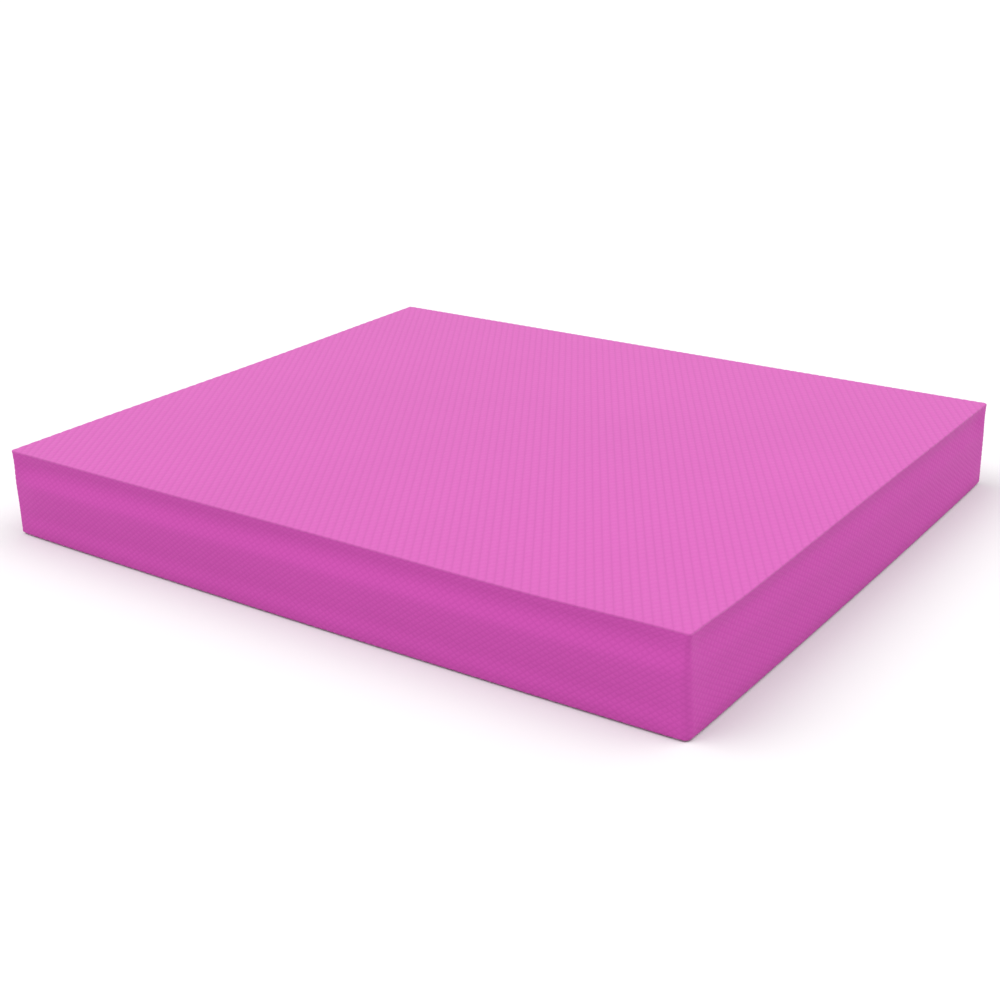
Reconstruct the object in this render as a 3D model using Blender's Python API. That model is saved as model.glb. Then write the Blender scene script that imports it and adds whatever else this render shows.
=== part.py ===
"""A foam balance pad: three foam plies laminated into one slab and wrapped in embossed skins.

The side wall is described once, by stand_out(), and every piece is a slice of that wall, so
the pieces stay flush. The origin is under the middle of the pad, on the surface it stands on.
X runs along the pad's long side, Y along its short side and Z through its thickness.
"""

import math

import bmesh
import bpy
from mathutils import Vector

MILLIMETRE = 0.001

# Driving dimensions, in metres. The length and width are those of the top face's edge
LENGTH = 0.500
WIDTH = 0.424
THICKNESS = 0.0584
SKIN = 0.0012
GAP = 0.0003
UPPER_SEAM = 0.0467
LOWER_SEAM = 0.0152

# The outer wall
CORNER_RADIUS = 0.0046
CORNER_SEGMENTS = 5
ARRIS_RADIUS = 0.0010
HEEL_RADIUS = 0.0018
WALL_LEVELS = 25
ROUNDED_EDGE_LEVELS = 4

# How far the wall stands out from the top edge, in millimetres, at shares of the way down.
# It is drawn in under the top edge where the upper ply is glued on, bellies out below that,
# and bellies a little again above the floor.
LONG_WALL = (
    (0, 0), (0.07, -0.9), (0.14, -1.8), (0.21, -1.5), (0.28, 0.1), (0.35, 1.5),
    (0.42, 1.8), (0.58, 1.0), (0.75, 0.1), (0.89, 0.8), (1, 0.3),
)
SHORT_WALL = (
    (0, 0), (0.08, -1.6), (0.17, -2.8), (0.27, -2.0), (0.38, -0.8),
    (0.62, -0.5), (0.8, 0.8), (0.88, 1.2), (1, 0.3),
)

# How far the cutter that hollows the side skin runs past its two ends
CUTTER_OVERRUN = 0.002

MAGENTA_TOP = (0.78, 0.18, 0.57, 1.0)
MAGENTA_SIDE = (0.74, 0.16, 0.53, 1.0)
MAGENTA_FOAM = (0.80, 0.30, 0.62, 1.0)
SKIN_ROUGHNESS = 0.62
FOAM_ROUGHNESS = 0.85


def clear_scene():
    for old in list(bpy.data.objects):
        bpy.data.objects.remove(old, do_unlink=True)


def new_collection(name):
    collection = bpy.data.collections.new(name)
    bpy.context.scene.collection.children.link(collection)
    return collection


def foam_material(name, colour, roughness):
    material = bpy.data.materials.new(name)
    material.use_nodes = True
    shader = material.node_tree.nodes["Principled BSDF"]
    shader.inputs["Base Color"].default_value = colour
    shader.inputs["Roughness"].default_value = roughness
    shader.inputs["Metallic"].default_value = 0.0
    return material


def rounding(distance, radius):
    """How far a rounded edge stands back from the wall, at a distance from the flat face."""
    short = max(radius - distance, 0.0)
    return radius - math.sqrt(max(radius * radius - short * short, 0.0))


def slope(points, k):
    """Slope of a smooth curve at its point k, from the neighbours on both sides."""
    before = points[max(k - 1, 0)]
    after = points[min(k + 1, len(points) - 1)]
    return (after[1] - before[1]) / (after[0] - before[0])


def curve(points, place):
    """Height of a smooth curve through the points, at a place along it."""
    place = min(max(place, points[0][0]), points[-1][0])
    k = 0
    while place > points[k + 1][0]:
        k += 1
    (x0, y0), (x1, y1) = points[k], points[k + 1]
    span = x1 - x0
    t = (place - x0) / span
    rise = (1 + 2 * t) * (1 - t) ** 2 * y0 + t * t * (3 - 2 * t) * y1
    lean = t * (1 - t) ** 2 * slope(points, k) - t * t * (1 - t) * slope(points, k + 1)
    return rise + span * lean


def stand_out(z, outward):
    """How far the wall stands out from the top edge at height z, where it faces outward."""
    down = 1.0 - z / THICKNESS
    belly = outward.y**2 * curve(LONG_WALL, down) + outward.x**2 * curve(SHORT_WALL, down)
    heel = rounding(max(z, 0.0), HEEL_RADIUS)
    arris = rounding(max(THICKNESS - z, 0.0), ARRIS_RADIUS)
    return MILLIMETRE * belly - heel - arris


def wall_levels(z_low, z_high):
    """Heights at which a slice's wall changes direction.

    They are even steps, the edges of the plies, so that the skin follows them exactly, and more
    levels at the rounded edges.
    """
    step = THICKNESS / (WALL_LEVELS - 1)
    levels = [i * step for i in range(WALL_LEVELS)]
    for seam in (LOWER_SEAM, UPPER_SEAM):
        levels += [seam - 0.5 * GAP, seam + 0.5 * GAP]
    for i in range(1, ROUNDED_EDGE_LEVELS + 1):
        turn = 1.0 - math.cos(0.5 * math.pi * i / ROUNDED_EDGE_LEVELS)
        levels.append(HEEL_RADIUS * turn)
        levels.append(THICKNESS - ARRIS_RADIUS * turn)
    least = 0.25 * GAP
    kept = []
    for z in sorted(levels):
        inside = z_low + least < z < z_high - least
        if inside and (not kept or z - kept[-1] > least):
            kept.append(z)
    return kept


def wall_slice(z_low, z_high, inset):
    """A closed slice of the pad between two heights, its wall set in by a constant distance."""
    bm = bmesh.new()
    bmesh.ops.create_cube(bm, size=1.0)
    bmesh.ops.scale(bm, vec=(LENGTH, WIDTH, z_high - z_low), verts=bm.verts)
    bmesh.ops.translate(bm, vec=(0.0, 0.0, 0.5 * (z_low + z_high)), verts=bm.verts)
    upright = [e for e in bm.edges if abs(e.verts[0].co.z - e.verts[1].co.z) > 0.5 * GAP]
    bmesh.ops.bevel(
        bm,
        geom=upright,
        offset=CORNER_RADIUS,
        segments=CORNER_SEGMENTS,
        profile=0.5,
        affect="EDGES",
    )
    for z in wall_levels(z_low, z_high):
        geometry = list(bm.verts) + list(bm.edges) + list(bm.faces)
        bmesh.ops.bisect_plane(bm, geom=geometry, plane_co=(0.0, 0.0, z), plane_no=(0.0, 0.0, 1.0))
    for vertex in bm.verts:
        move_to_wall(vertex, inset)
    return bm


def move_to_wall(vertex, inset):
    """Moves a vertex of the plain block square to the outline, to where the wall is."""
    half_x = 0.5 * LENGTH - CORNER_RADIUS
    half_y = 0.5 * WIDTH - CORNER_RADIUS
    core_x = max(-half_x, min(half_x, vertex.co.x))
    core_y = max(-half_y, min(half_y, vertex.co.y))
    outward = Vector((vertex.co.x - core_x, vertex.co.y - core_y, 0.0)).normalized()
    vertex.co += outward * (stand_out(vertex.co.z, outward) - inset)


def add_object(name, bm, collection, material):
    mesh = bpy.data.meshes.new(name)
    bm.to_mesh(mesh)
    bm.free()
    mesh.materials.append(material)
    obj = bpy.data.objects.new(name, mesh)
    collection.objects.link(obj)
    return obj


def make_skin_sheet(name, z_low, collection, material):
    """The embossed sheet on one face of the pad, which runs out to the pad's outline."""
    return add_object(name, wall_slice(z_low, z_low + SKIN, 0.0), collection, material)


def make_ply(name, z_low, z_high, collection, material):
    """One foam ply, which fills the skins between two laminated seams."""
    inset = SKIN + GAP
    return add_object(name, wall_slice(z_low, z_high, inset), collection, material)


def make_side_skin(parts, cutters, material):
    """The embossed strip that is wrapped round the four sides, between the two face sheets."""
    z_low = SKIN + GAP
    z_high = THICKNESS - SKIN - GAP
    strip = add_object("side_skin", wall_slice(z_low, z_high, 0.0), parts, material)
    room = wall_slice(z_low - CUTTER_OVERRUN, z_high + CUTTER_OVERRUN, SKIN)
    cutter = add_object("side_skin_room", room, cutters, material)
    cutter.hide_render = True
    cutter.display_type = "WIRE"
    cut = strip.modifiers.new("room", "BOOLEAN")
    cut.operation = "DIFFERENCE"
    cut.solver = "EXACT"
    cut.object = cutter
    return strip


def build():
    clear_scene()
    parts = new_collection("balance_pad")
    cutters = new_collection("cutters")
    top_colour = foam_material("top_embossed_skin", MAGENTA_TOP, SKIN_ROUGHNESS)
    bottom_colour = foam_material("bottom_embossed_skin", MAGENTA_TOP, SKIN_ROUGHNESS)
    side_colour = foam_material("side_embossed_skin", MAGENTA_SIDE, SKIN_ROUGHNESS)
    foam_top = THICKNESS - SKIN - GAP
    foam_bottom = SKIN + GAP
    plies = (
        ("lower_ply", foam_bottom, LOWER_SEAM - 0.5 * GAP),
        ("middle_ply", LOWER_SEAM + 0.5 * GAP, UPPER_SEAM - 0.5 * GAP),
        ("upper_ply", UPPER_SEAM + 0.5 * GAP, foam_top),
    )
    make_skin_sheet("bottom_skin", 0.0, parts, bottom_colour)
    for name, z_low, z_high in plies:
        foam_colour = foam_material(name + "_foam", MAGENTA_FOAM, FOAM_ROUGHNESS)
        make_ply(name, z_low, z_high, parts, foam_colour)
    make_side_skin(parts, cutters, side_colour)
    make_skin_sheet("top_skin", THICKNESS - SKIN, parts, top_colour)


build()
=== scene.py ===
"""The looks of a foam balance pad: embossed skins laminated round three foam plies.

The raised diamonds are real relief. Each skin is cut from a lattice of small triangles whose
points lie on the diamonds' middles, rims and grooves. The lattice runs a little askew to the
pad's edges. settle() gives all pieces the same slight unevenness, so that they stay flush.
"""

import math

import bmesh
import bpy
import numpy as np
from mathutils import Euler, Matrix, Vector


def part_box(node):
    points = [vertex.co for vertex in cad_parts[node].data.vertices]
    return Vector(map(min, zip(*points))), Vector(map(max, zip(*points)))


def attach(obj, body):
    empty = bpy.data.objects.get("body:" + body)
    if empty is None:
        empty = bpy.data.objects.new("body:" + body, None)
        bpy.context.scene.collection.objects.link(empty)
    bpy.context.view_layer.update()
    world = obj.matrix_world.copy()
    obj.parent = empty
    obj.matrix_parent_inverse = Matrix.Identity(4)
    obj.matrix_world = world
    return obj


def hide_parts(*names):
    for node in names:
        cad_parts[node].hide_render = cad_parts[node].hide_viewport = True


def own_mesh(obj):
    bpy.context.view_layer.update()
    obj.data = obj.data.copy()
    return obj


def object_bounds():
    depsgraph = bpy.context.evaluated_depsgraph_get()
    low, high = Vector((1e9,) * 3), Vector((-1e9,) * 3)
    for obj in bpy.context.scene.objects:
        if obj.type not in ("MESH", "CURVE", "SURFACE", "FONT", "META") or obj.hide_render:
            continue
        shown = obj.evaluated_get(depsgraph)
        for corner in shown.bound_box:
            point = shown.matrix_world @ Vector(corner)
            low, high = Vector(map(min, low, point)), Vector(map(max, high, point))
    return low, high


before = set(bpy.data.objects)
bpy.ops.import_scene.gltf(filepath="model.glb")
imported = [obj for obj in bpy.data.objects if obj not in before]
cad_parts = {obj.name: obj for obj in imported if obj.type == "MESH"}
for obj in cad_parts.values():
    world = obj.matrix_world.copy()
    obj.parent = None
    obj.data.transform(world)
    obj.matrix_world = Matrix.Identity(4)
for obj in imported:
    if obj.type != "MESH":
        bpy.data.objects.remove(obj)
cad_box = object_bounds()

# The pad as the frame has it, in metres
LOW, HIGH = cad_box
THICKNESS = HIGH.z - LOW.z
TOP_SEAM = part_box("top_skin")[0].z
BOTTOM_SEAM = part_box("bottom_skin")[1].z
SKIN = THICKNESS - TOP_SEAM
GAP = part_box("upper_ply")[0].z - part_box("middle_ply")[1].z

# The top face's edge, from which the side wall is measured
LENGTH = 0.500
WIDTH = 0.424

# The side wall. The upright corners are crisp at the top face and ease out to their own radius
ARRIS_RADIUS = 0.0010
HEEL_RADIUS = 0.0018
CORNER_RADIUS = 0.0020
NEAR_CORNER_RADIUS = 0.0045
TOP_CORNER_RADIUS = 0.0018
CORNER_EASE = 0.009

# The share of the wall's hollows and bellies that fades out at the upright corners
CORNER_CALM = 0.9
NEAR_CORNER_CALM = 0.55
CORNER_REACH = 0.012

# How far the wall stands out from the top edge, in millimetres, at shares of the way down
MILLIMETRE = 0.001
LONG_WALL = (
    (0, 0), (0.07, -0.9), (0.14, -1.8), (0.21, -1.5), (0.28, 0.1), (0.35, 1.5),
    (0.42, 1.8), (0.58, 1.0), (0.75, 0.1), (0.89, 0.8), (1, 0.3),
)
SHORT_WALL = (
    (0, 0), (0.08, -1.6), (0.17, -2.8), (0.27, -2.0), (0.38, -0.8),
    (0.62, -0.5), (0.8, 0.8), (0.88, 1.2), (1, 0.3),
)

# The pad's slight unevenness: its lower edges swell out, its top waves and is raised in places.
# A rise is a place on the top, its reach along X and Y and its height
SWELL_X = 0.0014
SWELL_Y = 0.0022
SWELL_GRIP = 3.0
WAVE = 0.00025
RISES = (
    (0.5 * LENGTH, -0.5 * WIDTH, 0.072, 0.036, 0.0020),
    (0.02, -0.5 * WIDTH, 0.100, 0.100, 0.0006),
)

# The embossed diamonds: their width and height, how far askew they run in degrees, and how many
# of them go round the sides. Their rim is at PLATEAU of the way out from their middle
FACE_CELL = (0.00570, 0.00850)
FACE_TILT = -1.8
SIDE_CELLS = 350
SIDE_CELL_HEIGHT = 0.00353
SIDE_CLIMB = 27
FACE_RELIEF = 0.00030
SIDE_RELIEF = 0.00021
PLATEAU = 0.60
PLATEAU_HEIGHT = 0.74
FAINT_GROOVE = 0.80

# Points this near to a cut are taken to lie on it
ON_A_LINE = 0.00003

# The rounded edge of a face sheet
EDGE_RINGS = 5
LEAST_BEND = 0.0004
BEND_CUTS = (0.4, 1.0)
NOTCH_FADE = 0.6

# The hidden faces are filled with rings drawn in towards the middle by these shares
DRAWN_IN = (0.94, 0.88, 0.82, 0.76, 0.70, 0.60, 0.50, 0.35, 0.20)
HIDDEN_COLUMNS = 192
HIDDEN_ROWS = 13

FOAM_COLUMNS = 280
FOAM_ROW = 0.0016
SHARP_ANGLE = 50

# Colours
RAISED = (0.505, 0.066, 0.356, 1.0)
# The groove colour is darker than the raised colour: painted shade in the grooves.
GROOVE_PAINTED_SHADE = (0.450, 0.055, 0.316, 1.0)
# The side colours are lighter copies of the top's: painted light on the sides. The side groove colour
# also holds painted shade in the grooves.
SIDE_RAISED_PAINTED_LIGHT = (0.530, 0.066, 0.377, 1.0)
SIDE_PAINTED_LIGHT_GROOVE_SHADE = (0.488, 0.057, 0.344, 1.0)
FOAM = (0.72, 0.22, 0.55, 1.0)
FLOOR = (0.70, 0.70, 0.70, 1.0)
WHITE = (1.0, 1.0, 1.0, 1.0)

# A Mix node's sockets for colours, which share their names with its sockets for numbers
MIX_FACTOR, MIX_A, MIX_B, MIX_RESULT = 0, 6, 7, 2


# ---------------------------------------------------------------- shape of the side wall


def smooth(t):
    """Eases from 0 to 1."""
    t = np.clip(t, 0.0, 1.0)
    return t * t * (3.0 - 2.0 * t)


def rounding(distance, radius):
    """How far a rounded edge stands back, at a distance from the face it leads to."""
    short = np.maximum(radius - distance, 0.0)
    return radius - np.sqrt(np.maximum(radius * radius - short * short, 0.0))


def curve(points, place):
    """A smooth curve through the points, read at each place along it."""
    xs, ys = np.array(points, float).T
    ends = np.arange(len(xs))
    before = np.maximum(ends - 1, 0)
    after = np.minimum(ends + 1, len(xs) - 1)
    slopes = (ys[after] - ys[before]) / (xs[after] - xs[before])
    place = np.clip(place, xs[0], xs[-1])
    k = np.clip(np.searchsorted(xs, place, side="right") - 1, 0, len(xs) - 2)
    span_x = xs[k + 1] - xs[k]
    t = (place - xs[k]) / span_x
    rise = (1 + 2 * t) * (1 - t) ** 2 * ys[k] + t * t * (3 - 2 * t) * ys[k + 1]
    lean = t * (1 - t) ** 2 * slopes[k] - t * t * (1 - t) * slopes[k + 1]
    return rise + span_x * lean


def edge_rounding(z):
    """How far the rounded top and bottom edges stand back at height z."""
    z = np.asarray(z, float)
    heel = rounding(np.maximum(z, 0.0), HEEL_RADIUS)
    arris = rounding(np.maximum(THICKNESS - z, 0.0), ARRIS_RADIUS)
    return heel + arris


def stand_out(x, y, z, out_x, out_y):
    """How far the wall stands out from the top edge at height z, at a point of the outline."""
    down = 1.0 - np.asarray(z, float) / THICKNESS
    belly = out_y**2 * curve(LONG_WALL, down) + out_x**2 * curve(SHORT_WALL, down)
    from_corner = np.hypot(0.5 * LENGTH - np.abs(x), 0.5 * WIDTH - np.abs(y))
    most = np.where(is_near(x, y), NEAR_CORNER_CALM, CORNER_CALM)
    calm = 1.0 - most * np.exp(-((from_corner / CORNER_REACH) ** 2))
    return MILLIMETRE * belly * calm - edge_rounding(z)


def is_near(x, y):
    """The upright corner next to the camera is rounder than the other three."""
    return (x > 0) & (y < 0)


def corner_radius(x, y, z):
    """The upright corners are crisp at the top face and a little rounder below it."""
    ease = smooth((THICKNESS - np.asarray(z, float)) / CORNER_EASE)
    below = np.where(is_near(x, y), NEAR_CORNER_RADIUS, CORNER_RADIUS)
    return TOP_CORNER_RADIUS + (below - TOP_CORNER_RADIUS) * ease


# Anticlockwise from the back left corner: direction along each side, and direction out of it
SIDES = (((0, -1), (-1, 0)), ((1, 0), (0, -1)), ((0, 1), (1, 0)), ((-1, 0), (0, 1)))


def outline_runs():
    """Lengths of the straight sides and of the corner arc that follows each of them."""
    runs = []
    for (ax, ay), (ox, oy) in SIDES:
        side = LENGTH if ax else WIDTH
        start = NEAR_CORNER_RADIUS if is_near(ox - ax, oy - ay) else CORNER_RADIUS
        end = NEAR_CORNER_RADIUS if is_near(ox + ax, oy + ay) else CORNER_RADIUS
        runs += [side - start - end, 0.5 * math.pi * end]
    return runs


RUNS = outline_runs()
GIRTH = sum(RUNS)


def outline(s, z):
    """Point and outward direction of the outline, a distance s round from the back left corner."""
    s, z = np.broadcast_arrays(np.asarray(s, float), np.asarray(z, float))
    s = s % GIRTH
    starts = np.concatenate([[0.0], np.cumsum(RUNS)])
    x, y, out_x, out_y = (np.zeros(s.shape) for _ in range(4))
    for k, ((ax, ay), (ox, oy)) in enumerate(SIDES):
        from_r = corner_radius(ox - ax, oy - ay, z)
        to_r = corner_radius(ox + ax, oy + ay, z)
        half = 0.5 * (LENGTH if ax else WIDTH)
        away = 0.5 * (LENGTH if ox else WIDTH)
        here = (s >= starts[2 * k]) & (s < starts[2 * k + 1])
        t = (s - starts[2 * k]) / RUNS[2 * k]
        along = -half + from_r + t * (2 * half - from_r - to_r)
        x = np.where(here, along * ax + away * ox, x)
        y = np.where(here, along * ay + away * oy, y)
        out_x = np.where(here, ox, out_x)
        out_y = np.where(here, oy, out_y)
        here = (s >= starts[2 * k + 1]) & (s <= starts[2 * k + 2])
        angle = 0.5 * math.pi * (s - starts[2 * k + 1]) / RUNS[2 * k + 1]
        arc_x = ox * np.cos(angle) + ax * np.sin(angle)
        arc_y = oy * np.cos(angle) + ay * np.sin(angle)
        centre_x = (half - to_r) * ax + (away - to_r) * ox
        centre_y = (half - to_r) * ay + (away - to_r) * oy
        x = np.where(here, centre_x + to_r * arc_x, x)
        y = np.where(here, centre_y + to_r * arc_y, y)
        out_x = np.where(here, arc_x, out_x)
        out_y = np.where(here, arc_y, out_y)
    return x, y, out_x, out_y


def settle(points):
    """Gives points of any piece the same slight unevenness, so that pieces stay flush."""
    p = np.array(points, float)
    across_x = 2.0 * p[:, 0] / LENGTH
    across_y = 2.0 * p[:, 1] / WIDTH
    height = np.clip(p[:, 2] / THICKNESS, 0.0, 1.0)
    push_x = np.sign(across_x) * np.abs(across_x) ** SWELL_GRIP * (1.0 - across_y**2)
    push_y = np.sign(across_y) * np.abs(across_y) ** SWELL_GRIP * (1.0 - across_x**2)
    wave = np.sin(2.1 * across_x + 0.6) * np.cos(2.7 * across_y - 0.4)
    wave += 0.5 * np.sin(4.9 * across_y + 1.3) * across_x
    p[:, 0] += SWELL_X * (1.0 - height) * push_x
    p[:, 1] += SWELL_Y * (1.0 - height) * push_y
    lift = WAVE * wave
    for x, y, reach_x, reach_y, rise in RISES:
        away = ((points[:, 0] - x) / reach_x) ** 2 + ((points[:, 1] - y) / reach_y) ** 2
        lift = lift + rise * np.exp(-away)
    p[:, 2] += lift * height
    return p


# ---------------------------------------------------------------- the diamond lattice


def lattice(low, high, cell, tilt, faint):
    """Flat triangles of a tilted diamond lattice over a box, and how far each point stands up.

    The lattice's numbers u and v count half cells. A diamond's middle is where both are whole and
    their sum is even, and grooves cross where it is odd. Half-way points move out to the rim.
    The grooves of one direction may be fainter than the others.
    """
    turn = math.radians(tilt)
    across = np.array([math.cos(turn), math.sin(turn)]) * 0.5 * cell[0]
    up = np.array([-math.sin(turn), math.cos(turn)]) * 0.5 * cell[1]
    corners = np.array([(x, y) for x in (low[0], high[0]) for y in (low[1], high[1])])
    reach = (corners - low) @ np.linalg.inv(np.stack([across, up]))
    first = np.floor(reach.min(0)).astype(int) * 2 - 4
    last = np.ceil(reach.max(0)).astype(int) * 2 + 4
    i, j = np.meshgrid(np.arange(first[0], last[0] + 1), np.arange(first[1], last[1] + 1))
    u, v = i / 2.0, j / 2.0
    middle = (i % 2 == 0) & (j % 2 == 0) & ((i // 2 + j // 2) % 2 == 0)
    rim_u = (i % 2 == 1) & (j % 2 == 0)
    rim_v = (i % 2 == 0) & (j % 2 == 1)
    falling = (i // 2 + j // 2) % 2 == 0
    nudge = np.where(falling, PLATEAU - 0.5, 0.5 - PLATEAU)
    u = np.where(rim_u, u + nudge, u)
    v = np.where(rim_v, v + nudge, v)
    faint_groove = (i % 2 == 1) & (j % 2 == 1) & ((i + j) // 2 % 2 == 0)
    raised = np.where(middle, 1.0, np.where(rim_u | rim_v, PLATEAU_HEIGHT, 0.0))
    raised = np.where(faint_groove, faint, raised)
    points = (u[..., None] * across + v[..., None] * up + low).reshape(-1, 2)
    # Two triangles for each grid square, split along the groove
    rows, columns = u.shape
    a = np.arange(rows * columns).reshape(rows, columns)[:-1, :-1].ravel()
    b, d, c = a + 1, a + columns, a + columns + 1
    falling = falling[:-1, :-1].ravel()
    faces = np.concatenate(
        [
            np.where(falling[:, None], np.stack([a, b, d], 1), np.stack([a, b, c], 1)),
            np.where(falling[:, None], np.stack([b, c, d], 1), np.stack([a, c, d], 1)),
        ]
    )
    corner = points[faces]
    kept = ((corner.max(1) > low) & (corner.min(1) < high)).all(1)
    faces = faces[kept]
    used = np.unique(faces)
    renumber = np.zeros(len(points), int)
    renumber[used] = np.arange(len(used))
    return points[used], raised.ravel()[used], renumber[faces]


def trimmed_lattice(low, high, cell, tilt, faint, extra_cuts=()):
    """The lattice trimmed to the box: its points, relief and faces, and the points on its rim.

    extra_cuts are lines that the lattice gets points along, as an axis and a place on it.
    """
    points, raised, faces = lattice(np.array(low), np.array(high), cell, tilt, faint)
    flat = bpy.data.meshes.new("lattice")
    level = np.column_stack([points, np.zeros(len(points))])
    flat.from_pydata(level.tolist(), [], faces.tolist())
    relief = flat.attributes.new("relief", "FLOAT", "POINT")
    relief.data.foreach_set("value", raised.astype(np.float32))
    bm = bmesh.new()
    bm.from_mesh(flat)
    trims = [(axis, end[axis], side) for axis in (0, 1) for end, side in ((low, -1), (high, 1))]
    for axis, place, side in trims + [(axis, place, 0) for axis, place in extra_cuts]:
        plane_no = [0.0, 0.0, 0.0]
        plane_no[axis] = float(side or 1)
        plane_co = [0.0, 0.0, 0.0]
        plane_co[axis] = place
        bmesh.ops.bisect_plane(
            bm,
            geom=bm.verts[:] + bm.edges[:] + bm.faces[:],
            dist=ON_A_LINE,
            plane_co=plane_co,
            plane_no=plane_no,
            clear_outer=side != 0,
        )
    bm.verts.index_update()
    rim = sorted({v.index for e in bm.edges if e.is_boundary for v in e.verts})
    bm.to_mesh(flat)
    bm.free()
    count = len(flat.vertices)
    spots = np.empty(3 * count, np.float32)
    heights = np.empty(count, np.float32)
    flat.vertices.foreach_get("co", spots)
    flat.attributes["relief"].data.foreach_get("value", heights)
    faces = [list(f.vertices) for f in flat.polygons]
    bpy.data.meshes.remove(flat)
    spots = spots.reshape(-1, 3)[:, :2].astype(float)
    rim = np.array(rim)
    for axis, place, _ in trims:
        near = np.abs(spots[rim, axis] - place) < 1.1 * ON_A_LINE
        spots[rim[near], axis] = place
    return spots, heights.astype(float), faces, rim


# ---------------------------------------------------------------- mesh helpers


def make_piece(name, points, faces, material, relief=None):
    mesh = bpy.data.meshes.new(name)
    mesh.from_pydata(settle(points).tolist(), [], faces)
    if relief is not None:
        layer = mesh.attributes.new("relief", "FLOAT", "POINT")
        layer.data.foreach_set("value", np.asarray(relief, np.float32))
    mesh.materials.append(material)
    mesh.shade_smooth()
    mesh.set_sharp_from_angle(angle=math.radians(SHARP_ANGLE))
    mesh.validate()
    piece = bpy.data.objects.new(name, mesh)
    bpy.context.scene.collection.objects.link(piece)
    return piece


def ring_quads(start_a, start_b, count):
    """Quads between two closed rings of the same number of points."""
    k = np.arange(count)
    after = (k + 1) % count
    return np.stack([start_a + k, start_a + after, start_b + after, start_b + k], 1)


def narrow_faces(edge, marks, first, columns):
    """Faces from a fine closed edge in to a coarser ring. marks are the ring's places on the edge."""
    faces = []
    for k in range(columns):
        arc = [int(edge[n % len(edge)]) for n in range(marks[k], marks[k + 1] + 1)]
        faces.append(arc + [first + (k + 1) % columns, first + k])
    return faces


def drawn_in(ring, first):
    """Rings of points drawn in from a closed ring, and the faces between them, which face up."""
    count = len(ring)
    points = np.concatenate([ring * (share, share, 1.0) for share in DRAWN_IN])
    faces = []
    for start in range(first, first + (len(DRAWN_IN) - 1) * count, count):
        faces += ring_quads(start, start + count, count).tolist()
    last = first + (len(DRAWN_IN) - 1) * count
    faces.append(list(range(last, last + count)))
    return points, faces


def turned(faces):
    """The same faces seen from their other side."""
    return [face[::-1] for face in faces]


# ---------------------------------------------------------------- face sheets


def edge_heights(face, seam):
    """Heights of the rings that carry a face sheet round its edge, from the face to its seam."""
    turn = np.linspace(0.0, 0.5 * math.pi, EDGE_RINGS + 1)[1:]
    return face + (seam - face) * (1.0 - np.cos(turn))


def round_the_box(points, rim, half_x, half_y):
    """The rim's points in order, anticlockwise from the corner at -X, -Y."""
    x, y = points[rim, 0] / half_x, points[rim, 1] / half_y
    on = 1.0 - 1e-9
    place = np.full(len(rim), -1.0)
    for k, (near, along) in enumerate(((-y, x), (x, y), (y, -x), (-x, -y))):
        here = (near > on) & (place < 0)
        place[here] = 2 * k + 1 + along[here]
    place[place >= 8.0] -= 8.0
    if place.min() < 0:
        raise ValueError("a rim point is off the box")
    return rim[np.argsort(place)]


def face_sheet(name, face, seam, radius, material):
    """The embossed sheet of the top (seam below face) or of the underside (seam above face)."""
    up = 1.0 if face > seam else -1.0
    inset = float(edge_rounding(face))
    down = 1.0 - face / THICKNESS
    back_x = inset - MILLIMETRE * float(curve(SHORT_WALL, down))
    back_y = inset - MILLIMETRE * float(curve(LONG_WALL, down))
    half_x = 0.5 * LENGTH - back_x
    half_y = 0.5 * WIDTH - back_y
    bend = max(radius - inset, LEAST_BEND)
    cuts = [(0, side * (half_x - bend * share)) for side in (-1, 1) for share in BEND_CUTS]
    cuts += [(1, side * (half_y - bend * share)) for side in (-1, 1) for share in BEND_CUTS]
    flat, raised, faces, rim = trimmed_lattice(
        (-half_x, -half_y), (half_x, half_y), FACE_CELL, FACE_TILT, FAINT_GROOVE, cuts
    )
    # The box's square corners are drawn in to a quarter circle
    rim = round_the_box(flat, rim, half_x, half_y)
    over = np.maximum(np.abs(flat) - (half_x - bend, half_y - bend), 0.0)
    reach = np.linalg.norm(over, axis=1)
    scale = np.where(reach > 0, over.max(1) / np.maximum(reach, 1e-9), 1.0)
    inner = np.minimum(np.abs(flat), (half_x - bend, half_y - bend))
    signs = np.sign(flat)
    flat = signs * (inner + over * scale[:, None])
    grid = np.column_stack([flat, face - up * FACE_RELIEF * (1.0 - raised)])
    # Rings of points carry the sheet round its edge to the seam
    out = signs[rim] * over[rim]
    out /= np.linalg.norm(out, axis=1)[:, None]
    edge = flat[rim] + out * (out[:, 0] ** 2 * back_x + out[:, 1] ** 2 * back_y)[:, None]
    low = raised[rim]
    count = len(rim)
    after = np.roll(np.arange(count), -1)
    parts = [grid]
    relief = [raised]
    previous = rim
    heights = edge_heights(face, seam)
    for k, height in enumerate(heights):
        share = (k + 1) / len(heights)
        notch = FACE_RELIEF * (1.0 - low) * (1.0 - NOTCH_FADE * share)
        reach_out = stand_out(edge[:, 0], edge[:, 1], height, out[:, 0], out[:, 1])
        reach_out -= notch * math.sin(0.5 * math.pi * share)
        ring = np.column_stack([edge + out * reach_out[:, None], np.full(count, height)])
        ring[:, 2] -= up * notch * math.cos(0.5 * math.pi * share)
        parts.append(ring)
        relief.append(low)
        here = len(grid) + k * count + np.arange(count)
        faces += np.stack([previous, here, here[after], previous[after]], 1).tolist()
        previous = here
    # The hidden face
    marks = np.linspace(0, count, HIDDEN_COLUMNS + 1).astype(int)
    first = len(grid) + len(heights) * count
    hidden, hidden_faces = drawn_in(parts[-1][marks[:-1]], first)
    hidden_faces += narrow_faces(previous, marks, first, HIDDEN_COLUMNS)
    faces += turned(hidden_faces)
    parts.append(hidden)
    relief.append(np.ones(len(hidden)))
    if up < 0:
        faces = turned(faces)
    return make_piece(name, np.concatenate(parts), faces, material, np.concatenate(relief))


# ---------------------------------------------------------------- side strip


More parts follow.
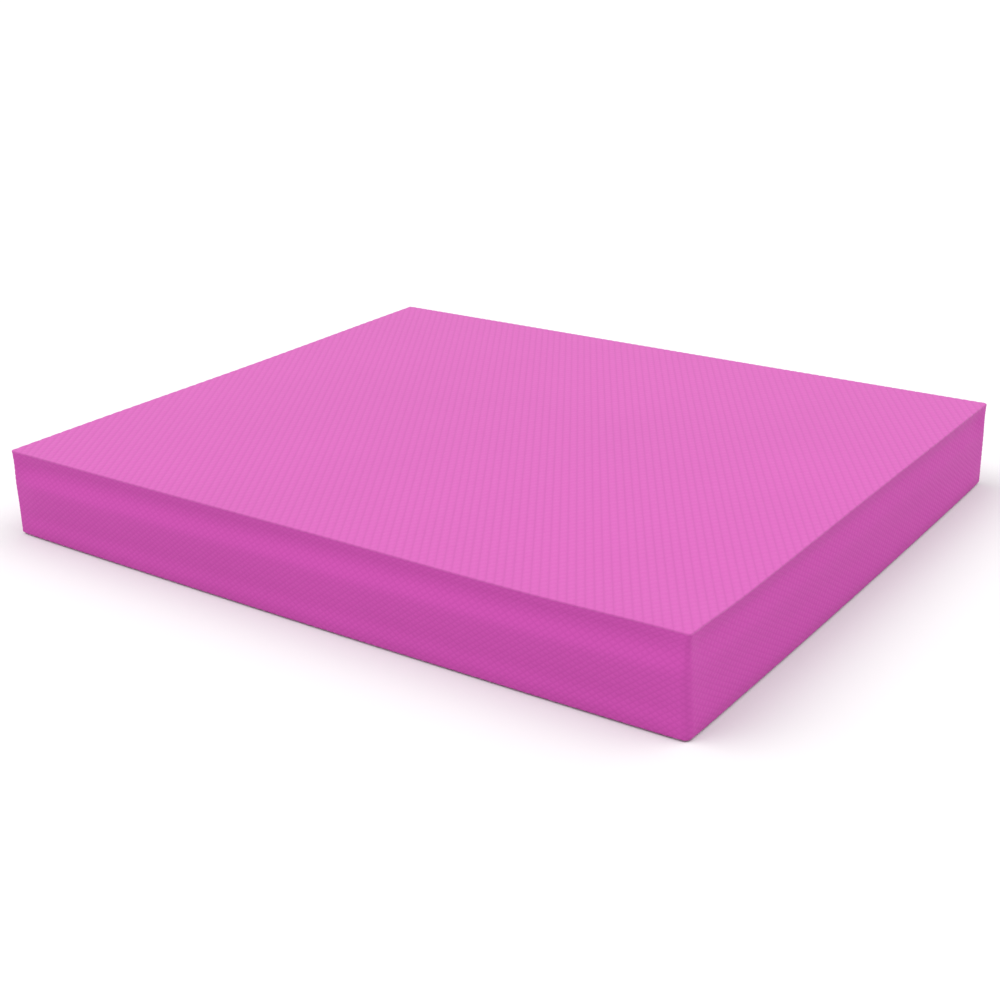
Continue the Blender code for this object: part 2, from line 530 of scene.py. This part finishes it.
def side_strip(name, low, high, material):
    """The embossed strip round the four sides, a closed shell as thick as the face sheets."""
    # The tilt is such that the pattern meets itself again after one round
    climb = SIDE_CLIMB * SIDE_CELL_HEIGHT
    tilt = math.asin(climb / GIRTH)
    cell = (GIRTH * math.cos(tilt) / SIDE_CELLS, SIDE_CELL_HEIGHT)
    flat, raised, faces, rim = trimmed_lattice(
        (0.0, low), (GIRTH, high), cell, math.degrees(tilt), 0.0
    )
    s, z = flat.T
    # The pattern's two ends are joined: each point at the end becomes its partner at the start
    start, end = rim[s[rim] == 0.0], rim[s[rim] == GIRTH]
    start, end = start[np.argsort(z[start])], end[np.argsort(z[end])]
    if len(start) != len(end):
        raise ValueError("the strip's two ends don't match")
    renumber = np.arange(len(s))
    renumber[end] = start
    faces = [renumber[f].tolist() for f in faces]
    x, y, out_x, out_y = outline(s, z)
    out = stand_out(x, y, z, out_x, out_y) - SIDE_RELIEF * (1.0 - raised)
    outer = np.stack([x + out_x * out, y + out_y * out, z], 1)
    # The hidden inner wall is plain
    columns, rows = HIDDEN_COLUMNS, HIDDEN_ROWS
    steps = np.arange(columns) * GIRTH / columns
    around, levels = np.meshgrid(steps, np.linspace(low, high, rows))
    x, y, out_x, out_y = outline(around, levels)
    out = stand_out(x, y, levels, out_x, out_y) - SKIN
    inner = np.stack([x + out_x * out, y + out_y * out, levels], 2).reshape(-1, 3)
    base = len(outer)
    for j in range(rows - 1):
        a = base + j * columns
        faces += ring_quads(a, a + columns, columns)[:, ::-1].tolist()
    # Narrow faces close the shell along its two long edges
    rim = np.setdiff1d(rim, end)
    for level, inner_row, flip in ((low, 0, False), (high, rows - 1, True)):
        edge = rim[z[rim] == level]
        edge = edge[np.argsort(s[edge])]
        marks = [int(np.argmin(np.abs(s[edge] - step))) for step in steps] + [len(edge)]
        closing = narrow_faces(edge, marks, base + inner_row * columns, columns)
        faces += closing if flip else turned(closing)
    points = np.concatenate([outer, inner])
    used = np.unique(np.concatenate([np.asarray(f) for f in faces]))
    place = np.zeros(len(points), int)
    place[used] = np.arange(len(used))
    faces = [place[f].tolist() for f in faces]
    relief = np.concatenate([raised, np.zeros(len(inner))])[used]
    return make_piece(name, points[used], faces, material, relief)


# ---------------------------------------------------------------- foam plies


def foam_ply(name, low, high, material):
    """One foam ply: a slab whose sides follow the wall, inside the skins."""
    columns = FOAM_COLUMNS
    rows = max(3, round((high - low) / FOAM_ROW))
    steps = np.arange(columns) * GIRTH / columns
    around, levels = np.meshgrid(steps, np.linspace(low, high, rows))
    x, y, out_x, out_y = outline(around, levels)
    out = stand_out(x, y, levels, out_x, out_y) - SKIN - GAP
    points = np.stack([x + out_x * out, y + out_y * out, levels], 2).reshape(-1, 3)
    faces = []
    for j in range(rows - 1):
        faces += ring_quads(j * columns, (j + 1) * columns, columns).tolist()
    top = (rows - 1) * columns
    lower_first = len(points)
    lower, lower_faces = drawn_in(points[:columns], lower_first)
    upper_first = lower_first + len(lower)
    upper, upper_faces = drawn_in(points[top:], upper_first)
    lower_faces += ring_quads(0, lower_first, columns).tolist()
    upper_faces += ring_quads(top, upper_first, columns).tolist()
    faces += turned(lower_faces) + upper_faces
    return make_piece(name, np.concatenate([points, lower, upper]), faces, material)


# ---------------------------------------------------------------- materials


def node(tree, kind, **values):
    made = tree.nodes.new(kind)
    for key, value in values.items():
        setattr(made, key, value)
    return made


def noise(tree, coordinates, scale, detail, roughness=0.5):
    made = node(tree, "ShaderNodeTexNoise")
    made.inputs["Scale"].default_value = scale
    made.inputs["Detail"].default_value = detail
    made.inputs["Roughness"].default_value = roughness
    tree.links.new(coordinates, made.inputs["Vector"])
    return made.outputs["Fac"]


def span(tree, value, low, high):
    """Maps a value from 0..1 to low..high."""
    made = node(tree, "ShaderNodeMapRange")
    made.inputs["To Min"].default_value = low
    made.inputs["To Max"].default_value = high
    tree.links.new(value, made.inputs["Value"])
    return made.outputs["Result"]


def times(tree, a, b):
    made = node(tree, "ShaderNodeMath", operation="MULTIPLY")
    tree.links.new(a, made.inputs[0])
    tree.links.new(b, made.inputs[1])
    return made.outputs[0]


def mix(tree, blend_type, factor, a, b):
    """Mixes two colours. factor, a and b are values or other nodes' outputs."""
    made = node(tree, "ShaderNodeMix", data_type="RGBA", blend_type=blend_type)
    for socket, value in ((MIX_FACTOR, factor), (MIX_A, a), (MIX_B, b)):
        if isinstance(value, (float, tuple)):
            made.inputs[socket].default_value = value
        else:
            tree.links.new(value, made.inputs[socket])
    return made.outputs[MIX_RESULT]


def embossed_skin(name, raised_colour, groove_painted_shade, shine, bloom):
    """Matte embossed film, with painted shade in its grooves that makes them a little darker. bloom
    is its soft sheen.
    """
    material = bpy.data.materials.new(name)
    material.use_nodes = True
    tree = material.node_tree
    shader = tree.nodes["Principled BSDF"]
    place = node(tree, "ShaderNodeTexCoord").outputs["Object"]
    relief = node(tree, "ShaderNodeAttribute", attribute_name="relief").outputs["Fac"]
    patches = span(tree, noise(tree, place, 9.0, 3.0), 0.96, 1.04)
    cells = span(tree, noise(tree, place, 1100.0, 2.0, 0.6), 0.965, 1.035)
    # The relief picks the darker groove colour in the hollows: painted shade.
    colour = mix(tree, "MIX", relief, groove_painted_shade, raised_colour)
    colour = mix(tree, "MULTIPLY", 1.0, colour, times(tree, patches, cells))
    tree.links.new(colour, shader.inputs["Base Color"])
    rough = span(tree, noise(tree, place, 300.0, 2.0), 0.54, 0.66)
    tree.links.new(rough, shader.inputs["Roughness"])
    shader.inputs["Specular IOR Level"].default_value = shine
    shader.inputs["Sheen Weight"].default_value = bloom
    shader.inputs["Sheen Roughness"].default_value = 0.5
    bump = node(tree, "ShaderNodeBump")
    bump.inputs["Strength"].default_value = 0.25
    bump.inputs["Distance"].default_value = 0.0001
    tree.links.new(noise(tree, place, 1600.0, 3.0, 0.6), bump.inputs["Height"])
    tree.links.new(bump.outputs["Normal"], shader.inputs["Normal"])
    return material


def cut_foam(name, colour):
    """Closed-cell foam with its fine cells open on a sawn face."""
    material = bpy.data.materials.new(name)
    material.use_nodes = True
    tree = material.node_tree
    shader = tree.nodes["Principled BSDF"]
    place = node(tree, "ShaderNodeTexCoord").outputs["Object"]
    cells = node(tree, "ShaderNodeTexVoronoi")
    cells.inputs["Scale"].default_value = 1400.0
    tree.links.new(place, cells.inputs["Vector"])
    tone = span(tree, cells.outputs["Distance"], 0.85, 1.05)
    tree.links.new(mix(tree, "MULTIPLY", 1.0, colour, tone), shader.inputs["Base Color"])
    rough = span(tree, noise(tree, place, 500.0, 2.0), 0.80, 0.92)
    tree.links.new(rough, shader.inputs["Roughness"])
    bump = node(tree, "ShaderNodeBump")
    bump.inputs["Strength"].default_value = 0.5
    bump.inputs["Distance"].default_value = 0.0002
    tree.links.new(cells.outputs["Distance"], bump.inputs["Height"])
    tree.links.new(bump.outputs["Normal"], shader.inputs["Normal"])
    return material


# ---------------------------------------------------------------- stage


def make_camera():
    """The main viewpoint: a little above the pad, near its front right corner."""
    data = bpy.data.cameras.new("camera")
    data.sensor_width = 36.0
    data.lens = 57.0
    data.clip_start = 0.01
    data.clip_end = 100.0
    camera = bpy.data.objects.new("camera", data)
    camera.location = (0.5694, -0.8221, 0.4041)
    camera.rotation_euler = Euler([math.radians(a) for a in (68.255, 1.031, 34.793)])
    bpy.context.scene.collection.objects.link(camera)
    bpy.context.scene.camera = camera


def make_floor():
    bpy.ops.mesh.primitive_plane_add(size=40.0, location=(0.0, 0.0, -0.0003))
    floor = bpy.context.active_object
    floor.name = "floor"
    material = bpy.data.materials.new("floor")
    material.use_nodes = True
    shader = material.node_tree.nodes["Principled BSDF"]
    shader.inputs["Base Color"].default_value = FLOOR
    shader.inputs["Roughness"].default_value = 0.9
    shader.inputs["Specular IOR Level"].default_value = 0.1
    floor.data.materials.append(material)


def soft_sun(name, azimuth, elevation, strength, spread):
    """A far, wide lamp. Azimuth 0 shines from the side that faces -Y, and 90 from +X."""
    data = bpy.data.lights.new(name, "SUN")
    data.energy = strength
    data.angle = math.radians(spread)
    light = bpy.data.objects.new(name, data)
    turn, rise = math.radians(azimuth), math.radians(elevation)
    level = math.cos(rise)
    towards = Vector((math.sin(turn) * level, -math.cos(turn) * level, math.sin(rise)))
    light.rotation_euler = towards.to_track_quat("Z", "Y").to_euler()
    bpy.context.scene.collection.objects.link(light)


def make_light():
    world = bpy.data.worlds.new("studio")
    world.use_nodes = True
    background = world.node_tree.nodes["Background"]
    background.inputs["Color"].default_value = WHITE
    background.inputs["Strength"].default_value = 0.79
    bpy.context.scene.world = world
    soft_sun("key_left", -57.0, 55.0, 1.68, 50.0)
    soft_sun("key_right", 125.0, 58.0, 1.20, 50.0)


# ---------------------------------------------------------------- the pad

make_camera()
make_floor()
make_light()

top_look = embossed_skin("top_embossed_skin", RAISED, GROOVE_PAINTED_SHADE, 0.5, 0.08)
# The side skin is a lighter copy of the top skin: painted light on the sides.
side_painted_light_look = embossed_skin("side_embossed_skin", SIDE_RAISED_PAINTED_LIGHT, SIDE_PAINTED_LIGHT_GROOVE_SHADE, 0.2, 0.0)
bottom_look = embossed_skin("bottom_embossed_skin", RAISED, GROOVE_PAINTED_SHADE, 0.5, 0.08)
foam_look = cut_foam("cut_foam", FOAM)

top = face_sheet("top_embossed_sheet", THICKNESS, TOP_SEAM, TOP_CORNER_RADIUS, top_look)
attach(top, "pad_top")
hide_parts("top_skin")

bottom = face_sheet("bottom_embossed_sheet", 0.0, BOTTOM_SEAM, NEAR_CORNER_RADIUS, bottom_look)
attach(bottom, "pad_base")
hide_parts("bottom_skin")

strip = side_strip("side_embossed_strip", BOTTOM_SEAM, TOP_SEAM, side_painted_light_look)
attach(strip, "pad_base")
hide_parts("side_skin")
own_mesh(strip)

for ply in ("lower_ply", "middle_ply", "upper_ply"):
    low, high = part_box(ply)
    foam = foam_ply(ply.replace("_ply", "_foam"), low.z, high.z, foam_look)
    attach(foam, "pad_base")
    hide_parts(ply)
    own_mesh(foam)

bpy.context.scene.view_settings.view_transform = "Standard"
